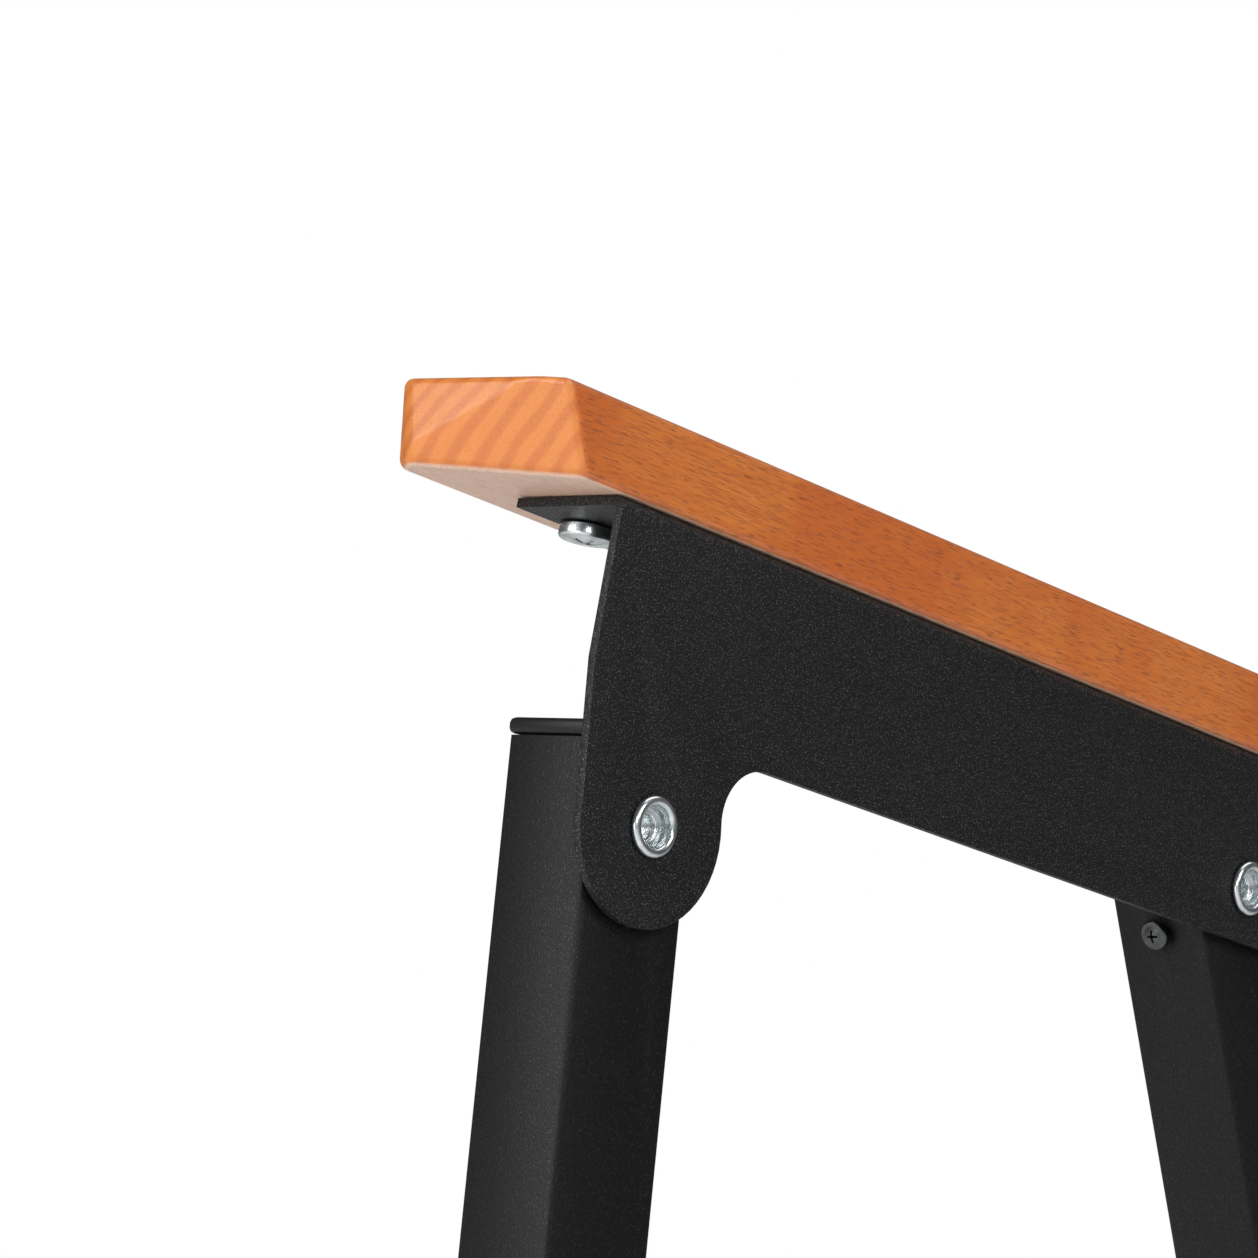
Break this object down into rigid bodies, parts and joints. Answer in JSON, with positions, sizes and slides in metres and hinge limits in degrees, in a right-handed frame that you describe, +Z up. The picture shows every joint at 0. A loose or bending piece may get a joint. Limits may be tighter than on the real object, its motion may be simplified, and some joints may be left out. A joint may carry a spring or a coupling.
{
  "type": "folding sawhorse",
  "caption": "Folding sawhorse: a varnished wooden beam on two steel angle brackets, each carrying two cranked tube legs that fold up along the beam.",
  "frame": {"origin": "on the floor, under the middle of the beam, with the legs open", "axes": "+X along the beam, +Z up, -Y towards the near bracket's side"},
  "size_m": [1, 0.4424, 0.7],
  "materials": {
    "beech": "varnished",
    "powder_coat": "fine-texture powder coat",
    "plastic": "satin",
    "rubber": "matte",
    "zinc": "zinc plated"
  },
  "bodies": {
    "frame": {"beam": "beech", "bracket_near": "powder_coat", "wood_screw_near_1": "zinc", "wood_screw_near_2": "zinc", "wood_screw_near_3": "zinc", "rivet_a_near": "zinc", "spacer_a_near": "zinc", "back_washer_a_near": "zinc", "rivet_b_near": "zinc", "spacer_b_near": "zinc", "back_washer_b_near": "zinc", "bracket_far": "powder_coat", "wood_screw_far_1": "zinc", "wood_screw_far_2": "zinc", "wood_screw_far_3": "zinc", "rivet_a_far": "zinc", "spacer_a_far": "zinc", "back_washer_a_far": "zinc", "rivet_b_far": "zinc", "spacer_b_far": "zinc", "back_washer_b_far": "zinc"},
    "outer_leg_near": {"leg_a_near": "powder_coat", "cap_a_near": "plastic", "foot_a_near": "rubber"},
    "inner_leg_near": {"leg_b_near": "powder_coat", "cap_b_near": "plastic", "foot_b_near": "rubber", "stop_screw_b_near": "zinc"},
    "outer_leg_far": {"leg_a_far": "powder_coat", "cap_a_far": "plastic", "foot_a_far": "rubber"},
    "inner_leg_far": {"leg_b_far": "powder_coat", "cap_b_far": "plastic", "foot_b_far": "rubber", "stop_screw_b_far": "zinc"}
  },
  "joints": [
    {"name": "outer_fold_near", "type": "hinge", "parent": "frame", "child": "outer_leg_near", "pos_m": [-0.4497, -0.0063, 0.6199], "axis": [0, -1, 0], "range_deg": [0, 83.4]},
    {"name": "inner_fold_near", "type": "hinge", "parent": "frame", "child": "inner_leg_near", "pos_m": [-0.2517, -0.0063, 0.6507], "axis": [0, -1, 0], "range_deg": [0, 59.85]},
    {"name": "outer_fold_far", "type": "hinge", "parent": "frame", "child": "outer_leg_far", "pos_m": [0.4497, 0.0063, 0.6199], "axis": [0, 1, 0], "range_deg": [0, 83.4]},
    {"name": "inner_fold_far", "type": "hinge", "parent": "frame", "child": "inner_leg_far", "pos_m": [0.2517, 0.0063, 0.6507], "axis": [0, 1, 0], "range_deg": [0, 59.85]}
  ],
  "couplings": [
    {"joint": "inner_fold_near", "follows": "outer_fold_near", "ratio": 0.7174},
    {"joint": "inner_fold_far", "follows": "outer_fold_far", "ratio": 0.7174}
  ]
}
